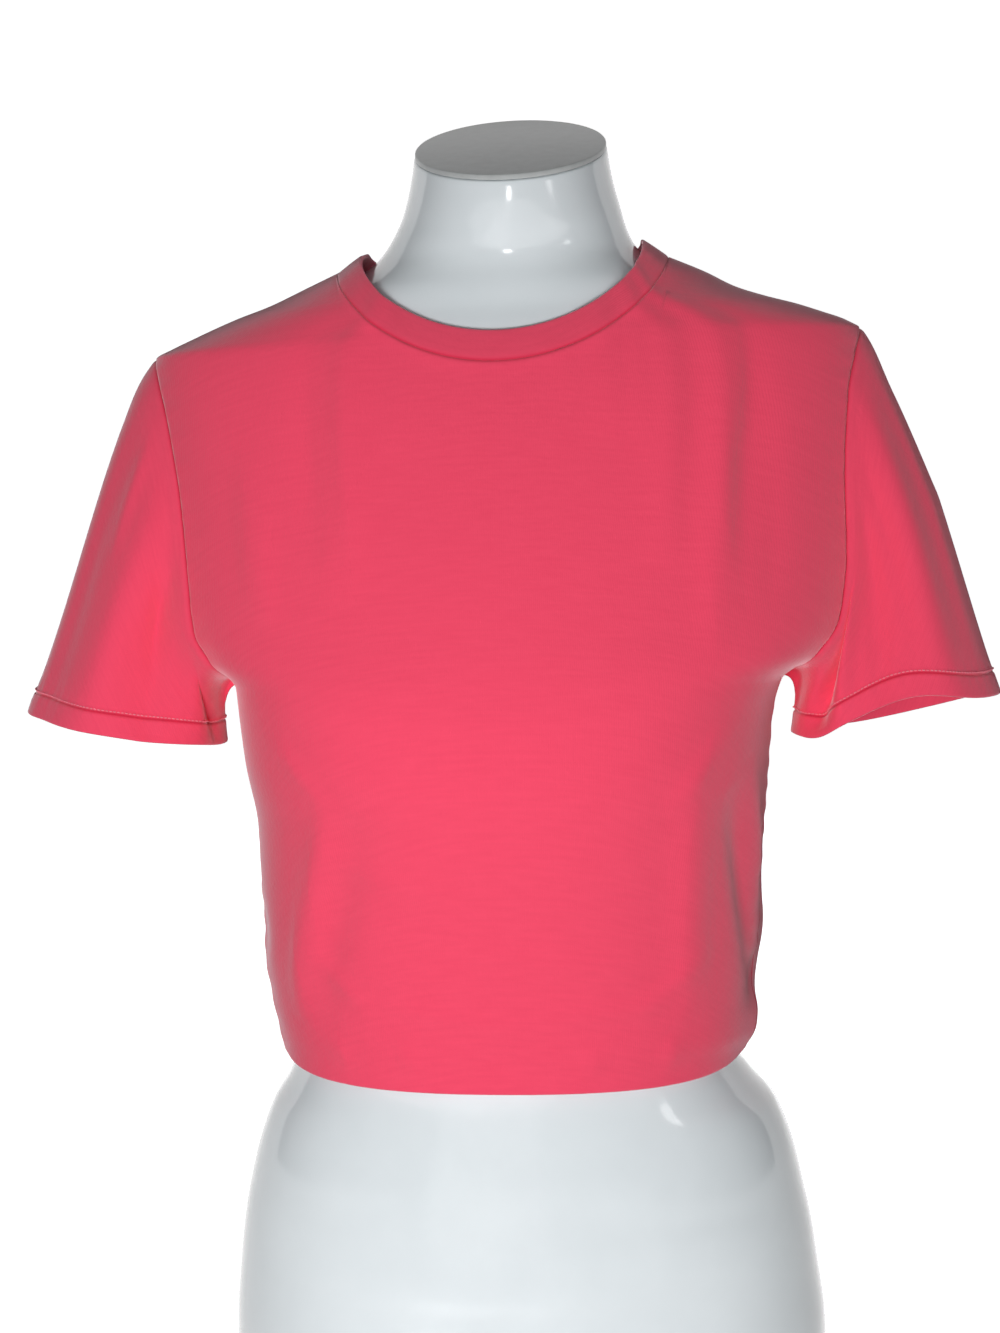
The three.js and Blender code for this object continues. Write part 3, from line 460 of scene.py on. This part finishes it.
def wall(name, points, thickness, closed, middle, material, seam, uv=None):
    """A closed wall of cloth: the grid outside, inside it the same grid moved in along its normals by
    the thickness, and half-round edges between them. The uv is the length along the rows and up the
    columns, if none is given."""
    normals = grid_normals(points, closed, middle)
    inner = points - normals * thickness[..., None]
    uv = np.stack([along(points, 1), along(points, 0)], -1) if uv is None else uv

    def rounded(row, neighbour):
        centre, radius = (points[row] + inner[row]) / 2, thickness[row][:, None] / 2
        out = points[row] - points[neighbour]
        out = unit(out - normals[row] * np.sum(out * normals[row], -1, keepdims=True))
        turns = np.radians([45, 90, 135])
        return [centre + radius * (normals[row] * math.cos(a) + out * math.sin(a)) for a in turns]

    last = len(points) - 1
    top, bottom = rounded(last, last - 1), rounded(0, 1)
    loop = np.concatenate([points, top, inner[::-1], bottom[::-1]])
    edge = [uv[last]] * 3
    loop_uv = np.concatenate([uv, edge, uv[::-1], [uv[0]] * 3])
    # Painted seam shade on the outside and the edges, none on the inside.
    loop_seam_shade = np.concatenate([seam, [seam[last]] * 3, seam[::-1] * 0, [seam[0]] * 3])
    index = np.arange(loop.shape[0] * loop.shape[1]).reshape(loop.shape[:2])
    faces = quads(index, True, closed).tolist()
    if not closed:
        for column, turn in ((0, 1), (-1, -1)):
            outside, inside = index[: last + 1, column], index[last + 4 : 2 * last + 5, column][::-1]
            strip = np.stack([outside[:-1], outside[1:], inside[1:], inside[:-1]], -1)
            faces += strip[:, ::turn].tolist()
            top_end = index[last : last + 5, column]
            bottom_end = np.append(index[2 * last + 4 :, column], index[0, column])
            faces += [end[::turn].tolist() for end in (top_end, bottom_end)]
    a, b, c = (loop.reshape(-1, 3)[faces[0][k]] for k in range(3))
    if np.dot(np.cross(b - a, c - a), normals[0, 0]) < 0:
        faces = [face[::-1] for face in faces]
    return make_object(name, loop.reshape(-1, 3), faces, material, loop_uv.reshape(-1, 2), loop_seam_shade.ravel())


def bell(distance, width):
    """exp(-(d / w)^2): 1 in the middle and almost nothing two widths away."""
    return np.exp(-((distance / width) ** 2))


def ridge(distance, height, width):
    """The roll of cloth beside a seam: height (d / w) exp(1 - d / w), so it is nothing on the seam itself."""
    return height * distance / width * np.exp(1 - distance / width)


def pucker(distance, place, height, pitch, reach):
    """Small ripples across a seam that fade away from it, of a pitch that wanders."""
    phase = 2 * np.pi * place / pitch + 1.7 * np.sin(place / 31.0) + 1.1 * np.sin(place / 12.7 + 2)
    return height * np.sin(phase) * (1 - np.exp(-distance / 1.5)) * np.exp(-distance / reach)


# Grid lines, closer together at the seams
LOWER_H = np.concatenate([
    HEM_HEIGHT + np.array([0, 0.6, 1.4, 2.6, 4.5, 7]),
    np.linspace(HEM_HEIGHT + 10, UNDERARM_HEIGHT - 2.4, 76),
])
RING_R = np.concatenate([np.linspace(0, 10.4, 70), np.linspace(10.5, 12, 17)])
PANEL_H = np.concatenate([LOWER_H, edge_height(RING_R)])
# No columns from 0.5 to 0.6 but one, as they run beside the neckline there
HALF_U = np.concatenate([
    np.linspace(0, 0.5, 51), [0.545], np.linspace(0.6, 0.965, 31), np.linspace(0.969, 1, 11),
])
PANEL_U = np.concatenate([-HALF_U[:0:-1], HALF_U])
RING_Q = np.concatenate([RING_STEPS - RING_R[::-1], RING_STEPS + RING_R[1:-1]])
UPPER_RUNS = np.concatenate([[0, 0.004, 0.009, 0.016, 0.026, 0.04], np.linspace(0.06, 0.98, 50)])
HEM_STEPS = np.linspace(17, 0, 40)  # distances of the lowest rows from the cuff's edge
BAND_RUNS = np.array([0, 0.03, 0.07, 0.12, 0.18, 0.25, 0.34, 0.44, 0.55, 0.66, 0.77, 0.87, 0.94, 1])


def make_panel(side, material, creases):
    """A body panel with rolled seam edges, puckered side seams and a turned hem."""
    u, h = np.meshgrid(PANEL_U, PANEL_H)
    points = panel(side, u, h, creases)
    middle = points * (0, 0, 1)
    normals = grid_normals(points, False, middle)
    across, up = along(points, 1), along(points, 0)
    to_side = np.minimum(across, across[:, -1:] - across)
    to_top = up[-1:] - up
    to_seam = np.minimum(to_side, to_top)
    lift = ridge(to_seam, *SEAM_ROLL)
    lift += pucker(to_side, points[..., 2], 0.45, 15, 9) * (1 - smooth_between(10, 30, to_side))
    points = points + normals * lift[..., None]
    hem = 1 - smooth_between(BODY_HEM_DEPTH - 1, BODY_HEM_DEPTH + 1, up)
    thickness = CLOTH_WALL + (HEM_WALL - CLOTH_WALL) * hem
    # Painted shade in the seam grooves, darkest on the seams themselves.
    seam = bell(to_seam, 1.0)
    depth = np.abs(points[..., 1])
    uv = np.stack([BODY_RADIUS * np.arctan2(points[..., 0], depth + 30), points[..., 2] - 0.8 * depth], -1)
    return wall(f"{side}_cloth", points, thickness, False, middle, material, seam, uv)


def make_sleeve(hand, material, creases):
    """A set-in sleeve with a rolled armhole seam and a stitched hem: a groove along the stitches and a
    raised roll above it. Returns the sleeve, the path of its stitches and the normals there."""
    ones = np.ones(len(RING_Q))
    speed = np.linalg.norm(sleeve(hand, RING_Q, ones) - sleeve(hand, RING_Q, 0.98 * ones), axis=-1) / 0.02
    run = np.vstack([np.outer(UPPER_RUNS, 1 - HEM_STEPS[0] / speed), 1 - np.outer(HEM_STEPS, 1 / speed)])
    points = sleeve(hand, RING_Q[None] + 0 * run, run, creases)
    middle = points.mean(1, keepdims=True)
    normals = grid_normals(points, True, middle)
    length = along(points, 0)
    to_edge = length[-1:] - length
    above = to_edge - SLEEVE_HEM_DEPTH
    lift = ridge(length, *SEAM_ROLL) + 0.5 * bell(above - 0.6, 0.9) - 0.5 * bell(above + 0.9, 0.7)
    lift += 0.3 * (1 - smooth_between(-3, -1, above))
    lift += pucker(np.abs(above), along(points, 1), 0.3, 7, 5)
    points = points + normals * lift[..., None]
    hem = 1 - smooth_between(SLEEVE_HEM_DEPTH - 1, SLEEVE_HEM_DEPTH + 1, to_edge)
    thickness = CLOTH_WALL + (HEM_WALL - CLOTH_WALL) * hem
    # Painted shade in the armhole seam's groove and in the groove under the cuff stitches.
    seam = bell(length, 1.0) + 1.3 * bell(above + 0.9, 0.75)
    made = wall(f"{hand}_sleeve_cloth", points, thickness, True, middle, material, seam)
    row, column = np.sum(above > 0.5, axis=0) - 1, np.arange(len(RING_Q))
    share = ((above[row, column] - 0.5) / (above[row, column] - above[row + 1, column]))[:, None]
    path, upright = (v[row, column] * (1 - share) + v[row + 1, column] * share for v in (points, normals))
    return made, path, upright


def make_band(material):
    """The neckband, folded double: a slightly crowned strip with a round top edge."""
    front_u = PANEL_U[np.abs(PANEL_U) <= NECK_SHARE + 0.0001][::-1]
    back_u = PANEL_U[np.abs(PANEL_U) <= NECK_SHARE - 0.0001]
    k = np.concatenate([(1 - front_u / NECK_SHARE) / 2, (3 + back_u / NECK_SHARE) / 2])
    k, run = np.meshgrid(k, BAND_RUNS)
    points = band(k, run)
    middle = points * (0, 0, 1)
    normals = grid_normals(points, True, middle)
    length = along(points, 0)
    lift = ridge(length, 0.5, 2.0) + 0.5 * np.sin(np.pi * run)
    lift += pucker(length, along(points, 1), 0.12, 6, 4)
    points = points + normals * lift[..., None]
    # Painted shade in the groove of the band's seam.
    seam = bell(length, 1.1)
    return wall("neckband_cloth", points, HEM_WALL + 0 * run, True, middle, material, seam)


def stitch_row(name, path, normals, material, pitch=2.2, length=1.9, radius=0.4):
    """Short threads end to end along a closed path: each is a capsule whose ends dip into the cloth."""
    loop, loop_normals = np.vstack([path, path[:1]]), np.vstack([normals, normals[:1]])
    at = np.concatenate([[0], np.cumsum(np.linalg.norm(np.diff(loop, axis=0), axis=1))])
    count = int(at[-1] / pitch)
    place = (np.arange(count) + 0.5) * at[-1] / count
    centre = np.stack([np.interp(place, at, loop[:, k]) for k in range(3)], -1)
    ahead = np.stack([np.interp((place + 0.5) % at[-1], at, loop[:, k]) for k in range(3)], -1)
    normal = unit(np.stack([np.interp(place, at, loop_normals[:, k]) for k in range(3)], -1))
    tangent = unit(ahead - centre)
    side = np.cross(normal, tangent)
    t = np.array([-1, -0.85, -0.5, 0, 0.5, 0.85, 1])
    size = np.array([0.25, 0.75, 1, 1, 1, 0.75, 0.25])
    turn = np.arange(6) * np.pi / 3
    ring = normal[:, None] * np.cos(turn)[None, :, None] + side[:, None] * np.sin(turn)[None, :, None]
    forward = tangent[:, None] * (t * length / 2)[None, :, None]
    raised = normal[:, None] * (radius * (0.5 - t * t))[None, :, None]
    spine = centre[:, None] + forward + raised
    vertices = spine[:, :, None] + ring[:, None] * (radius * size)[None, :, None, None]
    index = np.arange(count * len(t) * len(turn)).reshape(count, len(t), len(turn))
    wrap = np.concatenate([index, index[:, :, :1]], 2)
    sides = np.stack([wrap[:, :-1, :-1], wrap[:, :-1, 1:], wrap[:, 1:, 1:], wrap[:, 1:, :-1]], -1)
    faces = sides.reshape(-1, 4).tolist()
    faces += index[:, 0, ::-1].tolist() + index[:, -1].tolist()
    return make_object(name, vertices.reshape(-1, 3), faces, material)


def stack(name, rings, material):
    """A closed solid through rings of points, bottom to top."""
    count = rings.shape[1]
    index = np.arange(rings.shape[0] * count).reshape(-1, count)
    faces = quads(index, False, True).tolist() + [index[0, ::-1].tolist(), index[-1].tolist()]
    return make_object(name, rings.reshape(-1, 3), faces, material)


# Materials
def material_nodes(name):
    """A new node material, its nodes, its links and its shader."""
    made = bpy.data.materials.new(name)
    made.use_nodes = True
    return made, made.node_tree.nodes, made.node_tree.links, made.node_tree.nodes["Principled BSDF"]


def noise(nodes, links, source, scale, detail=3):
    """A noise texture on the given coordinates."""
    made = nodes.new("ShaderNodeTexNoise")
    made.inputs["Scale"].default_value = scale
    made.inputs["Detail"].default_value = detail
    links.new(source, made.inputs["Vector"])
    return made.outputs["Fac"]


def ramp(nodes, links, source, low, high, dark, light):
    """A colour between dark and light as the source goes from low to high."""
    made = nodes.new("ShaderNodeValToRGB")
    made.color_ramp.elements[0].position, made.color_ramp.elements[1].position = low, high
    made.color_ramp.elements[0].color, made.color_ramp.elements[1].color = (*dark, 1), (*light, 1)
    links.new(source, made.inputs["Fac"])
    return made.outputs["Color"]


def knit_material(name, light=(1.0, 0.078, 0.158), dark=(0.96, 0.070, 0.146)):
    """Coral pink jersey: fine ribs of knit along the length, a soft fuzz, and darker red painted as shade in the
    seam grooves.
    """
    made, nodes, links, shader = material_nodes(name)
    place = nodes.new("ShaderNodeTexCoord")
    streak = nodes.new("ShaderNodeMapping")
    streak.inputs["Scale"].default_value = (60, 420, 1)
    links.new(place.outputs["UV"], streak.inputs["Vector"])
    colour = ramp(nodes, links, noise(nodes, links, streak.outputs["Vector"], 1, 6), 0.3, 0.7, dark, light)
    # The seam attribute carries painted shade: a darker red mixed in along the seam grooves and under the cuff
    # stitches.
    seam = nodes.new("ShaderNodeAttribute")
    seam.attribute_name = "seam"
    seam_shade_mix = nodes.new("ShaderNodeMixRGB")
    seam_shade_mix.inputs["Color2"].default_value = (0.62, 0.01, 0.045, 1)
    seam_shade_amount = nodes.new("ShaderNodeMath")
    seam_shade_amount.operation = "MULTIPLY"
    seam_shade_amount.inputs[1].default_value = 0.75
    links.new(seam.outputs["Fac"], seam_shade_amount.inputs[0])
    links.new(seam_shade_amount.outputs[0], seam_shade_mix.inputs["Fac"])
    links.new(colour, seam_shade_mix.inputs["Color1"])
    links.new(seam_shade_mix.outputs["Color"], shader.inputs["Base Color"])
    ribs = nodes.new("ShaderNodeTexWave")
    ribs.inputs["Scale"].default_value = 320
    ribs.inputs["Distortion"].default_value = 1.5
    links.new(place.outputs["UV"], ribs.inputs["Vector"])
    bump = nodes.new("ShaderNodeBump")
    bump.inputs["Strength"].default_value = 0.25
    bump.inputs["Distance"].default_value = 0.0002
    links.new(ribs.outputs["Fac"], bump.inputs["Height"])
    fuzz = nodes.new("ShaderNodeBump")
    fuzz.inputs["Strength"].default_value = 0.35
    fuzz.inputs["Distance"].default_value = 0.0006
    links.new(noise(nodes, links, place.outputs["Object"], 420), fuzz.inputs["Height"])
    links.new(bump.outputs["Normal"], fuzz.inputs["Normal"])
    links.new(fuzz.outputs["Normal"], shader.inputs["Normal"])
    shader.inputs["Roughness"].default_value = 0.78
    shader.inputs["Specular IOR Level"].default_value = 0.08
    shader.inputs["Sheen Weight"].default_value = 0.62
    shader.inputs["Sheen Roughness"].default_value = 0.5
    shader.inputs["Sheen Tint"].default_value = (1.0, 0.9, 0.95, 1)
    return made


def smooth_material(name, dark, light, roughness, scale, coat=0.0):
    """A hard, smooth finish with a faint mottle and tiny changes in gloss."""
    made, nodes, links, shader = material_nodes(name)
    place = nodes.new("ShaderNodeTexCoord")
    fine = noise(nodes, links, place.outputs["Object"], scale)
    links.new(ramp(nodes, links, fine, 0.3, 0.7, dark, light), shader.inputs["Base Color"])
    gloss = nodes.new("ShaderNodeMapRange")
    gloss.inputs["To Min"].default_value = roughness * 0.9
    gloss.inputs["To Max"].default_value = roughness * 1.15
    links.new(fine, gloss.inputs["Value"])
    links.new(gloss.outputs["Result"], shader.inputs["Roughness"])
    shader.inputs["Coat Weight"].default_value = coat
    shader.inputs["Coat Roughness"].default_value = 0.05
    return made


def thread_material(name):
    """Sewing thread, a little lighter than the cloth."""
    made, nodes, links, shader = material_nodes(name)
    place = nodes.new("ShaderNodeTexCoord")
    fine = noise(nodes, links, place.outputs["Object"], 900)
    colour = ramp(nodes, links, fine, 0.3, 0.7, (1.0, 0.17, 0.25), (1.0, 0.30, 0.38))
    links.new(colour, shader.inputs["Base Color"])
    shader.inputs["Roughness"].default_value = 0.55
    return made


# The crop top
knit = knit_material("coral_knit")
thread = thread_material("coral_thread")

front = make_panel("front", knit, FRONT_CREASES)
back = make_panel("back", knit, BACK_CREASES)
left_sleeve, left_path, left_normals = make_sleeve("left", knit, SLEEVE_CREASES["left"])
right_sleeve, right_path, right_normals = make_sleeve("right", knit, SLEEVE_CREASES["right"])
neckband = make_band(knit)
left_stitches = stitch_row("left_cuff_stitches", left_path, left_normals, thread)
right_stitches = stitch_row("right_cuff_stitches", right_path, right_normals, thread)

# The dress form, and the plate that covers its neck; the plate's grey is painted shade of the neck's flat top
shell_white = smooth_material("form_gloss", (0.80, 0.86, 0.89), (0.83, 0.89, 0.92), 0.14, 30, 0.5)
plate_painted_shade = smooth_material("plate_satin_painted_shade", (0.50, 0.52, 0.52), (0.56, 0.58, 0.58), 0.32, 160)


def form_rings(zs, insets, lifts, count):
    """Rings of the form's section, one for each height, inset and lift."""
    turn = np.arange(count) * 2 * np.pi / count
    rows = zip(zs, insets, lifts)
    return np.stack([form_point(turn, np.full(count, z), inset, lift) for z, inset, lift in rows])


FORM_TOP = FORM_SECTIONS[-1][0]
FORM_ROWS = 200
round_off = np.radians([90, 67, 45, 22, 0])
form_z = np.concatenate([
    FORM_BASE_ROUND * (1 - np.sin(round_off)),
    np.linspace(6, FORM_TOP - 4, FORM_ROWS),
    FORM_TOP - FORM_TOP_ROUND * (1 - np.sin(round_off[::-1])),
])
form_in = np.concatenate([
    FORM_BASE_ROUND * (1 - np.cos(round_off)),
    np.zeros(FORM_ROWS),
    FORM_TOP_ROUND * (1 - np.cos(round_off[::-1])),
])
form_shell = stack("form_shell", form_rings(form_z, form_in, 0 * form_z, 192), shell_white)

plate_round = np.radians([0, 30, 60, 90])
low, high = PART_GAP, PART_GAP + PLATE_THICKNESS
plate_lift = np.concatenate([
    low + PLATE_LOW_ROUND * (1 - np.cos(plate_round)),
    high - PLATE_HIGH_ROUND * (1 - np.sin(plate_round)),
])
plate_in = PLATE_INSET + np.concatenate([
    PLATE_LOW_ROUND * (1 - np.sin(plate_round)),
    PLATE_HIGH_ROUND * (1 - np.cos(plate_round)),
])
plate_z = np.full(len(plate_in), FORM_TOP)
plate = stack("neck_cap", form_rings(plate_z, plate_in, plate_lift, 160), plate_painted_shade)

for piece, node, finish in (
    (front, "front_panel", "cloth"), (back, "back_panel", "cloth"), (left_sleeve, "sleeve_left", "cloth"),
    (right_sleeve, "sleeve_right", "cloth"), (neckband, "neckband", "cloth"), (form_shell, "dress_form", "form"),
    (plate, "neck_plate", "plate"), (left_stitches, None, "cloth"), (right_stitches, None, "cloth"),
):
    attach(piece, "root")
    if node:
        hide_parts(node)


# Floor and lights
def sweep(material):
    """A floor that curves up into a backdrop behind the object."""
    turn = np.radians(np.linspace(0, 90, 24))
    y = np.concatenate([[-4.0], 1.6 + 0.9 * np.sin(turn), [2.5]])
    z = np.concatenate([[0.0], 0.9 - 0.9 * np.cos(turn), [5.0]])
    x = np.array([-6.0, 6.0])
    rows = len(y)
    points = np.stack([np.broadcast_to(x, (rows, 2)), np.stack([y, y], 1), np.stack([z, z], 1)], -1)
    faces = quads(np.arange(2 * rows).reshape(rows, 2), False, False).tolist()
    return make_object("floor", points.reshape(-1, 3) * 1000, faces, material)


def area_light(name, place, target, size, energy, shape="RECTANGLE"):
    """A soft light aimed at a point."""
    data = bpy.data.lights.new(name, "AREA")
    data.shape = shape
    data.size, data.size_y = size
    data.energy = energy
    light = bpy.data.objects.new(name, data)
    light.location = place
    light.rotation_euler = (Vector(place) - Vector(target)).to_track_quat("Z", "Y").to_euler()
    bpy.context.scene.collection.objects.link(light)
    return light


paper = smooth_material("paper", (0.93, 0.93, 0.93), (0.95, 0.95, 0.95), 0.9, 3)
paper_shader = paper.node_tree.nodes["Principled BSDF"]
paper_shader.inputs["Emission Color"].default_value = (1, 1, 1, 1)
paper_shader.inputs["Emission Strength"].default_value = 0.95
floor = sweep(paper)
floor.visible_diffuse = False
middle_height = (0, 0, 0.42)
lights = [
    area_light("key", (-0.2, -1.15, 0.24), middle_height, (0.45, 0.35), 8.8),
    area_light("fill_left", (1.25, -1.4, 0.5), middle_height, (0.5, 0.9), 4.5),
    area_light("fill_right", (-1.7, -0.9, 0.5), middle_height, (0.5, 1.4), 2),
    area_light("rear", (0.1, 1.9, 0.75), middle_height, (1.2, 1.2), 9),
]
for light in lights:
    light.visible_glossy = False
area_light("flash", (0.02, -1.5, 0.5), middle_height, (0.16, 0.16), 0.8, shape="DISK")
area_light("spark", (1.3, -1.2, 0.75), middle_height, (0.2, 0.2), 0.4, shape="DISK")

world = bpy.data.worlds.new("studio")
world.use_nodes = True
background = world.node_tree.nodes["Background"]
background.inputs["Color"].default_value = (1, 1, 1, 1)
background.inputs["Strength"].default_value = 0.06
bpy.context.scene.world = world
bpy.context.scene.view_settings.view_transform = "Standard"
